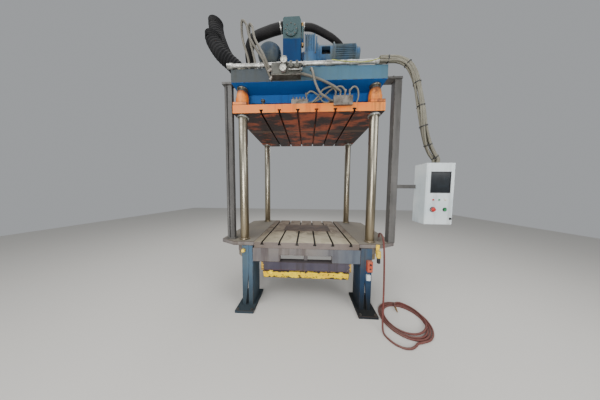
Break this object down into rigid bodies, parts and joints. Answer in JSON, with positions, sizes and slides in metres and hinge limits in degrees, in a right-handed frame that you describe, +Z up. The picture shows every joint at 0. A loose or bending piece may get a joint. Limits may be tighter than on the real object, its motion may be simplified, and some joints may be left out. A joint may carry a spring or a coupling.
{
  "type": "hydraulic press",
  "caption": "Four-column down-acting hydraulic press with T-slotted bolster and platen, power unit on its crown, and a control box on a side arm.",
  "frame": {"origin": "centre of the bolster's top face, in the middle between the four columns", "axes": "+Z up, -Y towards the front of the press, +X towards the control box"},
  "size_m": [2.806, 1.7498, 3.5801],
  "materials": {
    "deep_blue_paint": "satin machine enamel, dusty",
    "dusty_blue_paint": "blue enamel under thick grey dust",
    "orange_paint": "orange enamel with dirt and oil",
    "machined_steel": "planed and worn",
    "polished_steel": "ground and oiled",
    "bed_grey_paint": "worn grey paint",
    "dark_steel": "oily dark steel",
    "black_rubber": "matte, dusty",
    "hose_rubber": "matte, dusty",
    "red_hose_rubber": "matte",
    "galvanised_steel": "galvanised",
    "yellow_paint": "chipped",
    "yellow_plastic": "moulded",
    "apron_paint": "scratched grey paint",
    "gauge_enamel": "pale dial in a steel case",
    "needle_black": "matte",
    "white_paint": "powder coated",
    "red_plastic": "moulded",
    "green_plastic": "moulded",
    "post_paint": "grey paint",
    "brass": "dull"
  },
  "bodies": {
    "frame": {"bed_frame": "bed_grey_paint", "bolster": "machined_steel", "bed_wing_left": "bed_grey_paint", "bed_wing_right": "bed_grey_paint", "side_frame_left": "deep_blue_paint", "side_frame_right": "deep_blue_paint", "apron_plate": "apron_paint", "bumper_bar": "yellow_paint", "column_front_left": "polished_steel", "column_front_right": "polished_steel", "column_rear_left": "polished_steel", "column_rear_right": "polished_steel", "main_cylinder": "deep_blue_paint", "cylinder_gland": "dark_steel", "crown_box": "deep_blue_paint", "crown_front_beam": "dusty_blue_paint", "conduit": "galvanised_steel", "cable_bundle": "hose_rubber", "valve_block": "dark_steel", "gauge_case_upper": "gauge_enamel", "gauge_case_lower": "gauge_enamel", "header_tank": "dusty_blue_paint", "tank_cover": "dusty_blue_paint", "power_unit_base": "deep_blue_paint", "pump": "dusty_blue_paint", "bell_housing": "dusty_blue_paint", "motor": "dusty_blue_paint", "accumulator": "dusty_blue_paint", "suction_pipe": "black_rubber", "return_pipe": "black_rubber", "duct_front": "black_rubber", "duct_rear": "black_rubber", "pressure_hose_a": "hose_rubber", "pressure_hose_b": "hose_rubber", "platen_hose_a": "hose_rubber", "platen_hose_b": "hose_rubber", "post_left": "post_paint", "post_right": "post_paint", "control_box": "white_paint", "switch_box": "red_plastic", "outlet_box": "white_paint", "air_regulator": "yellow_plastic", "air_hose": "red_hose_rubber", "air_hose_coil": "red_hose_rubber", "air_hose_fitting": "brass"},
    "moving_platen": {"platen": "orange_paint", "guide_bushing_front_left": "orange_paint", "guide_bushing_front_right": "orange_paint", "guide_bushing_rear_left": "orange_paint", "guide_bushing_rear_right": "orange_paint", "manifold_left": "dark_steel", "manifold_right": "dark_steel", "ram": "polished_steel"},
    "upper_needle": {"gauge_needle_upper": "needle_black"},
    "lower_needle": {"gauge_needle_lower": "needle_black"},
    "pump_drive": {"drive_shaft": "machined_steel"},
    "stop": {"stop_button": "red_plastic"},
    "start": {"start_button": "green_plastic"},
    "knob": {"valve_knob": "yellow_plastic"}
  },
  "joints": [
    {"name": "platen_stroke", "type": "slide", "parent": "frame", "child": "moving_platen", "axis": [0, 0, -1], "range_m": [0, 0.6], "deforming": ["platen_hose_a", "platen_hose_b"]},
    {"name": "upper_needle_sweep", "type": "hinge", "parent": "frame", "child": "upper_needle", "pos_m": [-0.236, -0.745, 1.892], "axis": [0, 1, 0], "range_deg": [0, 270], "stiffness_Nm_per_rad": 0.0005},
    {"name": "lower_needle_sweep", "type": "hinge", "parent": "frame", "child": "lower_needle", "pos_m": [-0.244, -0.745, 1.814], "axis": [0, 1, 0], "range_deg": [0, 270], "stiffness_Nm_per_rad": 0.0005},
    {"name": "drive_spin", "type": "hinge", "parent": "frame", "child": "pump_drive", "pos_m": [0.2, -0.32, 2.235], "axis": [1, 0, 0], "continuous": true},
    {"name": "stop_press", "type": "slide", "parent": "frame", "child": "stop", "axis": [0, 1, 0], "range_m": [0, 0.006], "stiffness_N_per_m": 1500},
    {"name": "start_press", "type": "slide", "parent": "frame", "child": "start", "axis": [0, 1, 0], "range_m": [0, 0.006], "stiffness_N_per_m": 1200},
    {"name": "knob_turn", "type": "hinge", "parent": "frame", "child": "knob", "pos_m": [-0.722, -0.625, -0.1], "axis": [0, -1, 0], "range_deg": [0, 720]}
  ]
}
